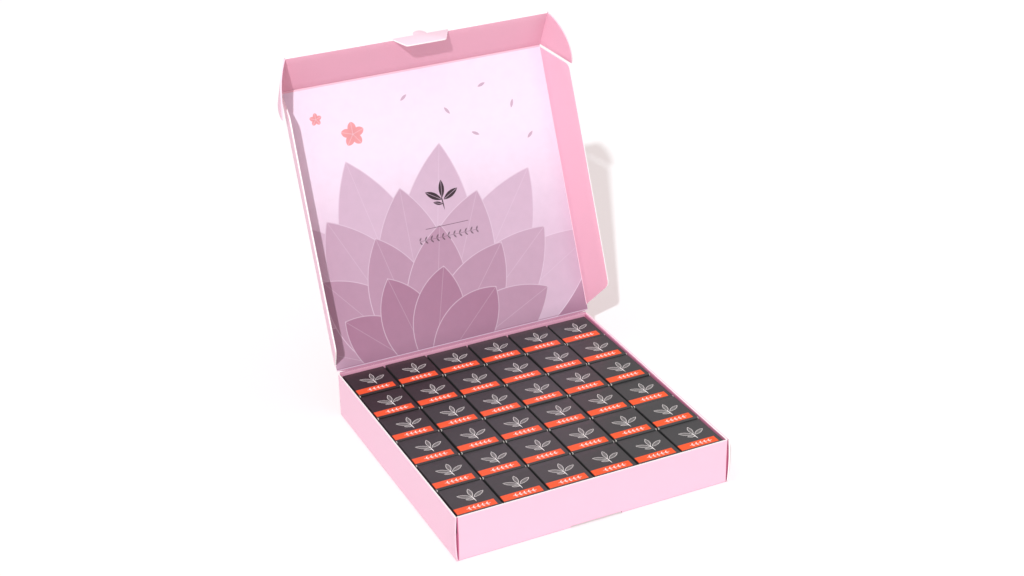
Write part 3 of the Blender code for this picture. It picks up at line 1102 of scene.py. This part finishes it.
def spring_walls(builder):
    """Lets the side walls' front ends spring outwards beside the open seams."""
    board = sizes()
    low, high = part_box("tray")
    slice_across(builder, 2, spread(board.bottom_fold, board.wall_height, 9))
    slice_across(builder, 1, spread(low.y, low.y + board.bulge_reach, 5))
    for vertex in builder.verts:
        back = (vertex.co.y - low.y) / board.bulge_reach
        outside = abs(vertex.co.x) > high.x - board.seam_place - TOUCH
        if outside and back <= 1 and 0 < vertex.co.z < board.wall_height:
            share = math.sin(math.pi * vertex.co.z / board.wall_height) * (1 - back) ** 2
            vertex.co.x += math.copysign(board.wall_bulge * share, vertex.co.x)


# The paper's rounded lip along the lock slot: radius, height over the slot, length left out
LIP_RADIUS = 0.00045
LIP_LIFT = 0.0003
LIP_SHORT = 0.002


def add_slot_lip(builder):
    """Adds the paper's rounded lip along the top of the lock slot."""
    half = sizes().slot_width / 2 - LIP_SHORT
    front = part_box("tray")[0].y + LIP_RADIUS
    top = sizes().slot_height + LIP_LIFT
    add_bead(builder, (-half, front, top), (half, front, top), LIP_RADIUS, FOLD)


class TEABOX_OT_tray(bpy.types.Operator):
    """Builds the tray with its rolled side walls, open corner seams and lock slot"""
    bl_idname = "teabox.tray"
    bl_label = "Tray"

    def execute(self, context):
        colours = paper()
        shell = tray_shell()
        combine(shell, hinge_rail(), "UNION")
        builder = bmesh.new()
        builder.from_mesh(shell.data)
        bpy.data.objects.remove(shell, do_unlink=True)
        paint_tray(builder)
        spring_walls(builder)
        add_slot_lip(builder)
        # The tray's inner faces take the deeper side tint, painted shade on the side walls
        inside = tray_finish("tray_inside", colours.wall, colours.rim, colours.deep)
        finishes = board_finishes(inside)
        finishes[OUTSIDE] = tray_finish("tray_outside", colours.outside, colours.fold)
        # The seam liner is painted shade
        finishes.append(liner_finish("seam_liner", colours.shade, 0.6))
        # The hinge liner is partly print, partly painted shade
        finishes.append(liner_finish("hinge_liner", colours.hinge))
        # The slot liner is painted shade
        finishes.append(liner_finish("slot_liner", colours.slot, 0.6))
        add_piece("tray_board", builder, finishes, Matrix.Identity(4), "tray", "tray")
        return {"FINISHED"}


# The fine line of stretched paper along the lid's side folds: radius, place in from the fold, sink
SIDE_LINE = 0.0004
SIDE_LINE_INSET = 0.0007
SIDE_LINE_SINK = 0.0002

# The raised score beside the hinge: radius, sink
SCORE_RADIUS = 0.0005
SCORE_SINK = 0.0003


class TEABOX_OT_lid(bpy.types.Operator):
    """Builds the lid's big printed panel, with its folds and score lines"""
    bl_idname = "teabox.lid"
    bl_label = "Lid panel"

    def execute(self, context):
        shape = flaps()
        half = lid_half_width()
        end = lid_length()
        skin = sizes().thickness / 2
        outline = [(-half, shape.notch_depth), (-half + shape.notch_width, 0),
                   (half - shape.notch_width, 0), (half, shape.notch_depth), (half, end),
                   (-half, end)]

        def swell(x, y):
            along = math.sin(math.pi * min(max(y / end, 0), 1))
            return -sizes().bow * (1 - (x / half) ** 2) * along

        builder = cut_board(outline, swell, 15, 15)
        flap_end = end - shape.side_end
        add_side_beads(builder, half, shape.side_start, flap_end, 0, skin, OUTSIDE)
        add_side_beads(builder, half - SIDE_LINE_INSET, shape.side_start, flap_end,
                       skin - SIDE_LINE_SINK, SIDE_LINE, FOLD)
        add_bead(builder, (-half, end, 0), (half, end, 0), skin, OUTSIDE)
        score_end = half - shape.notch_width * 0.6
        score_height = skin - SCORE_SINK
        add_bead(builder, (-score_end, HINGE_SCORE, score_height),
                 (score_end, HINGE_SCORE, score_height), SCORE_RADIUS, INSIDE)
        add_piece("lid_board", builder, board_finishes(print_finish()), lid_axes(), "lid",
                  "lid_panel")
        return {"FINISHED"}


class TEABOX_OT_side_flaps(bpy.types.Operator):
    """Builds the two long flaps along the lid's sides"""
    bl_idname = "teabox.side_flaps"
    bl_label = "Side flaps"

    def execute(self, context):
        shape = flaps()
        end = lid_length() - shape.side_end
        outline = rounded_outline([
            (0, shape.side_start, 0),
            (shape.side_depth, shape.side_start + shape.back_chamfer, shape.side_corner),
            (shape.side_depth, end - shape.front_chamfer, shape.side_corner),
            (0, end, 0)])

        def curl(x, y):
            return -sizes().bow * (x / shape.side_depth) ** 2 * math.sin(math.pi * y / end)

        for side in SIDES:
            cut = outline if side == "right" else mirrored(outline)
            add_piece("side_flap_board_" + side, cut_board(cut, curl, 4, 14),
                      board_finishes(flap_liner()), side_flap_axes(side), side + "_flap",
                      "side_flap_" + side, settle=True)
        return {"FINISHED"}


class TEABOX_OT_tuck_flap(bpy.types.Operator):
    """Builds the flap across the lid's front edge"""
    bl_idname = "teabox.tuck_flap"
    bl_label = "Tuck flap"

    def execute(self, context):
        shape = flaps()
        half = lid_half_width()
        deep = tuck_depth()
        gap = arc((0, deep), shape.thumb_gap, 0, -math.pi, CURVE_FACETS)
        outline = [(-half, 0), (half, 0), (half, deep), *gap, (-half, deep)]

        def swell(x, y):
            along = math.sin(math.pi * min(max(y / deep, 0), 1) / 2)
            return sizes().bow * (1 - (x / half) ** 2) * along

        builder = cut_board(outline, swell, 15, 4)
        add_side_beads(builder, half, shape.ear_start, deep, 0, sizes().thickness / 2, OUTSIDE)
        add_piece("tuck_board", builder, board_finishes(flap_liner()), tuck_axes(), "tuck",
                  "tuck_flap", settle=True)
        return {"FINISHED"}


# How far the ears' outer edges stay back from the tuck flap's free edge
EAR_SHORT = 0.0003


class TEABOX_OT_ears(bpy.types.Operator):
    """Builds the leaf-shaped ears at the tuck flap's ends"""
    bl_idname = "teabox.ears"
    bl_label = "Ears"

    def execute(self, context):
        shape = flaps()
        tip = shape.ear_start + shape.ear_rise
        rise_to_root = tuck_depth() - EAR_SHORT - tip
        outline = [(0, shape.ear_start)]
        for step in range(CURVE_FACETS + 1):
            angle = math.pi / 2 * step / CURVE_FACETS
            across = math.cos(angle) ** (2 / shape.ear_roundness)
            along = math.sin(angle) ** (2 / shape.ear_roundness)
            outline.append((shape.ear_length * across, tip + rise_to_root * along))

        def curl_right(x, y):
            return sizes().bow * (x / shape.ear_length) ** 2

        def curl_left(x, y):
            share = -x / shape.ear_length
            return shape.ear_hook * share ** 3 - shape.ear_belly * math.sin(math.pi * share)

        finishes = board_finishes(flap_liner())
        finishes[CORE] = finishes[FOLD]
        for side, cut, curl in (("left", mirrored(outline), curl_left),
                                ("right", outline, curl_right)):
            add_piece("ear_board_" + side, cut_board(cut, curl, 14, 6), finishes, ear_axes(side),
                      side + "_ear", "ear_" + side, settle=True)
        return {"FINISHED"}


# Room between the lock tab's fold beads and the ends of its fold
TAB_BEAD_ROOM = (0.0004, 0.0002)


class TEABOX_OT_lock_tab(bpy.types.Operator):
    """Builds the lock tab with its half-round thumb piece"""
    bl_idname = "teabox.lock_tab"
    bl_label = "Lock tab"

    def execute(self, context):
        shape = flaps()
        radius = sizes().thickness / 2
        thumb = arc((0, -radius / 4), shape.thumb, math.pi, 2 * math.pi, CURVE_FACETS)
        outline = [(-shape.thumb, 0), *thumb, (shape.thumb, 0)]
        outline.extend(rounded_outline([
            (shape.tab_root, 0, 0), (shape.tab_tip, shape.tab_length, shape.tab_corner),
            (-shape.tab_tip, shape.tab_length, shape.tab_corner), (-shape.tab_root, 0, 0)]))
        builder = cut_board(outline)
        near = shape.thumb_gap + TAB_BEAD_ROOM[0]
        far = shape.tab_root - TAB_BEAD_ROOM[1]
        for side in SIDES.values():
            add_bead(builder, (side * near, 0, 0), (side * far, 0, 0), radius, OUTSIDE)
        finishes = board_finishes(flap_liner())
        # The tab's outer face takes the paler fold paper: a painted highlight where the tab faces
        # the light
        finishes[OUTSIDE] = finishes[FOLD]
        add_piece("lock_tab_board", builder, finishes, tab_axes(), "tab", "lock_tab",
                  settle=True)
        return {"FINISHED"}


TOP, SIDE, EDGE = range(3)

# Bare card at a carton's front corners: reach across, reach down, bevel of the top panel
BARE_REACH = 0.0009
BARE_DROP = 0.0016
BARE_NOTCH = 0.0006

# How far a carton's top panel runs past the walls in front and at the back, and its extra depth
FRONT_OVERHANG = 0.0001
BACK_OVERHANG = 0.0002
PANEL_EXTRA = 0.0003
NOTCH_SHARE = 0.7


def carton_walls(half_x, half_y, height):
    """A small carton's four walls and floor, with bare card at the front corners."""
    looks = cartons()
    rim = height - looks.rim_drop
    corners = [(x, y, looks.corner) for x, y in ((-half_x, -half_y), (half_x, -half_y),
                                                 (half_x, half_y), (-half_x, half_y))]
    builder = prism(rounded_outline(corners), 0, rim)
    slice_across(builder, 0, (-half_x + BARE_REACH, half_x - BARE_REACH))
    slice_across(builder, 1, (-half_y + looks.ear_cut,))
    slice_across(builder, 2, (rim - BARE_DROP, height / 2))
    for face in builder.faces:
        middle = face.calc_center_median()
        at_corner = (abs(middle.x) > half_x - BARE_REACH
                     and middle.y < -half_y + looks.ear_cut)
        on_front = middle.y < -half_y + looks.corner and middle.z > rim - BARE_DROP
        bare = at_corner and (face.normal.z > STEEP or on_front)
        face.material_index = EDGE if bare else SIDE
    return builder


def carton_top(half_x, half_y, height, crown):
    """A small carton's top panel, folded down in front and swelling a little."""
    looks = cartons()
    front = -half_y - FRONT_OVERHANG
    back = half_y + BACK_OVERHANG
    reach = half_x - looks.card
    inset = reach - BARE_NOTCH
    notch = front + looks.ear_cut * NOTCH_SHARE
    shoulder = front + looks.ear_cut
    right = [(inset, front), (inset, notch), (reach, shoulder), (reach, back)]
    outline = [(-inset, front), *right, *[(-x, y) for x, y in reversed(right[1:])]]
    panel = prism(outline, height - looks.front_fold - PANEL_EXTRA, height)
    for place, radius, facets in ((front, looks.front_fold, FOLD_FACETS), (back, looks.card, 3)):
        bevel(panel, lambda edge: edge_at(edge, 2, height) and edge_at(edge, 1, place),
              radius, facets)
    slice_across(panel, 0, spread(-reach, reach, 5))
    slice_across(panel, 1, spread(front + looks.front_fold * 2, back, 5))
    for vertex in panel.verts:
        x, y = vertex.co.xy
        vertex.co.z += crown * (1 - (x / half_x) ** 2) * (1 - (y / half_y) ** 2)
    for face in panel.faces:
        face.material_index = TOP
    return panel


def carton_builder(half_x, half_y, height, crown, tilt):
    """A small carton, whose top stands a little higher in front than at the back."""
    builder = carton_walls(half_x, half_y, height)
    panel = carton_top(half_x, half_y, height, crown)
    lid = bpy.data.meshes.new("carton_top")
    panel.to_mesh(lid)
    panel.free()
    builder.from_mesh(lid)
    bpy.data.meshes.remove(lid)
    for vertex in builder.verts:
        if vertex.co.z > height / 2 + TOUCH:
            vertex.co.z -= tilt / 2 * (1 + vertex.co.y / half_y)
    return builder


def carton_twist(node):
    """How far a carton is turned, from the way its front face looks."""
    fronts = [face for face in node.data.polygons if face.normal.y < -FACING]
    front = max(fronts, key=lambda face: face.area)
    return math.atan2(front.normal.x, -front.normal.y)


# A carton's tone at the tray's back left corner, how much it gains by the front right one (a
# painted reflection), and how far a carton strays from it (each carton's own tone)
TONE_LEAST = 0.45
REFLECTION_GAIN = 1.30
TONE_STRAY = (0.93, 1.07)


def carton_tone_and_reflection(middle):
    """A carton's tone by its place, brown-black at the back left and greyer at the front right: a
    painted reflection.
    """
    low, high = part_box("tray")
    to_right = (middle.x - low.x) / (high.x - low.x)
    to_front = (high.y - middle.y) / (high.y - low.y)
    return TONE_LEAST + REFLECTION_GAIN * (to_right + to_front) / 2


class TEABOX_OT_cartons(bpy.types.Operator):
    """Builds the small cartons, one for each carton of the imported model"""
    bl_idname = "teabox.cartons"
    bl_label = "Cartons"

    def execute(self, context):
        looks = cartons()
        draw = random.Random(looks.seed)
        finishes = (charcoal_finish(), charcoal_side_finish(),
                    core_finish("card_edge", looks.edge))
        for name in sorted(node for node in frame["nodes"] if node.startswith("carton_")):
            low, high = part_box(name)
            middle = (low + high) / 2
            twist = carton_twist(frame["nodes"][name])
            size = high - low
            lean = abs(math.sin(twist))
            half_x = (size.x - size.y * lean) / 2 - looks.gap
            half_y = (size.y - size.x * lean) / 2
            crown = looks.crown * draw.uniform(0.1, 1.0)
            tilt = looks.tilt * draw.uniform(0.6, 1.0)
            # The tone is a painted reflection by the carton's place, times each carton's own stray
            tone = carton_tone_and_reflection(middle) * draw.uniform(*TONE_STRAY)
            height = size.z + looks.lift - crown + tilt
            builder = carton_builder(half_x, half_y, height, crown, tilt)
            foot = Matrix.Translation((middle.x, middle.y, low.z))
            place = foot @ Matrix.Rotation(twist, 4, "Z")
            piece = add_piece(name + "_card", builder, finishes, place, "tray", name)
            tones_and_reflection = piece.data.attributes.new("tone", "FLOAT", "POINT")
            tones_and_reflection.data.foreach_set("value", [tone] * len(piece.data.vertices))
        return {"FINISHED"}


# Which way the key light shines, and the lights' tints
KEY_WAY = Vector((0.46, 0.67, -0.58))
KEY_TINT = (0.965, 1.0, 1.0)
TOP_TINT = (0.97, 1.0, 1.0)
FILL_TINT = (1.0, 0.885, 0.89)

# Where the camera stands and how it is turned
CAMERA_PLACE = (-0.77120, -1.58638, 1.11307)
CAMERA_TURN_DEG = (62.6008, 0.9118, -25.9329)

# How far the floor lies under the tray
FLOOR_DROP = 0.0002


def add_sun(name, strength, spread_angle, tint, way=Vector((0, 0, -1))):
    """Adds a light from far away that shines one way."""
    light = bpy.data.lights.new(name, "SUN")
    light.energy = strength
    light.angle = spread_angle
    light.color = tint
    new_object(name, light).rotation_euler = way.to_track_quat("-Z", "Y").to_euler()


def lay_floor(looks):
    """Lays the plain pale floor."""
    builder = bmesh.new()
    bmesh.ops.create_grid(builder, x_segments=1, y_segments=1, size=looks.floor_size / 2)
    finish, shader, point = new_finish("floor", 0.9)
    shade = multiply_add(speckle(point, 0.4), 0.02, 0.99)
    feed(shader, {"Base Color": shade_colour(looks.floor_colour, shade),
                  "Specular IOR Level": 0.0, "Emission Color": painted(looks.floor_glow),
                  "Emission Strength": 1.0})
    floor = new_object("floor", mesh_from("floor", builder, (finish,)))
    floor.location.z = -FLOOR_DROP


class TEABOX_OT_studio(bpy.types.Operator):
    """Lays the pale floor and sets up the light and the camera"""
    bl_idname = "teabox.studio"
    bl_label = "Studio"

    def execute(self, context):
        looks = context.scene.tea_studio
        scene = context.scene
        scene.view_settings.view_transform = "Standard"
        lay_floor(looks)
        add_sun("key_light", looks.key_strength, looks.key_spread, KEY_TINT, KEY_WAY)
        add_sun("top_light", looks.top_strength, looks.top_spread, TOP_TINT)

        world = bpy.data.worlds.new("soft_fill")
        world.use_nodes = True
        feed(world.node_tree.nodes["Background"],
             {"Color": painted(FILL_TINT), "Strength": looks.fill_strength})
        scene.world = world

        camera = bpy.data.cameras.new("camera")
        camera.lens = looks.lens
        camera.sensor_width = 36.0
        camera_object = new_object("camera", camera)
        camera_object.location = CAMERA_PLACE
        camera_object.rotation_euler = Euler([math.radians(turn) for turn in CAMERA_TURN_DEG])
        scene.camera = camera_object
        return {"FINISHED"}


OPERATORS = (TEABOX_OT_tray, TEABOX_OT_lid, TEABOX_OT_side_flaps, TEABOX_OT_tuck_flap,
             TEABOX_OT_ears, TEABOX_OT_lock_tab, TEABOX_OT_cartons, TEABOX_OT_studio)
SETTINGS = {"tea_board": BoardSizes, "tea_flaps": FlapSizes, "tea_paper": PaperColours,
            "tea_cartons": CartonLooks, "tea_studio": StudioLooks}


class TEABOX_PT_sidebar(bpy.types.Panel):
    """Lists the tea box's sizes, colours and pieces"""
    bl_label = "Tea box"
    bl_idname = "TEABOX_PT_sidebar"
    bl_space_type = "VIEW_3D"
    bl_region_type = "UI"
    bl_category = "Tea box"

    def draw(self, context):
        for name, group in SETTINGS.items():
            column = self.layout.column(align=True)
            for label in group.__annotations__:
                column.prop(getattr(context.scene, name), label)
        for operator in OPERATORS:
            self.layout.operator(operator.bl_idname)


def register():
    """Adds the settings, the operators and the panel."""
    for kind in (*SETTINGS.values(), *OPERATORS, TEABOX_PT_sidebar):
        bpy.utils.register_class(kind)
    for name, group in SETTINGS.items():
        setattr(bpy.types.Scene, name, PointerProperty(type=group))


def unregister():
    """Takes the settings, the operators and the panel away again."""
    for name in SETTINGS:
        delattr(bpy.types.Scene, name)
    for kind in (TEABOX_PT_sidebar, *reversed(OPERATORS), *SETTINGS.values()):
        bpy.utils.unregister_class(kind)


def main():
    """Makes every piece in order."""
    register()
    for operator in OPERATORS:
        group, name = operator.bl_idname.split(".")
        getattr(getattr(bpy.ops, group), name)()


if __name__ == "__main__":
    main()
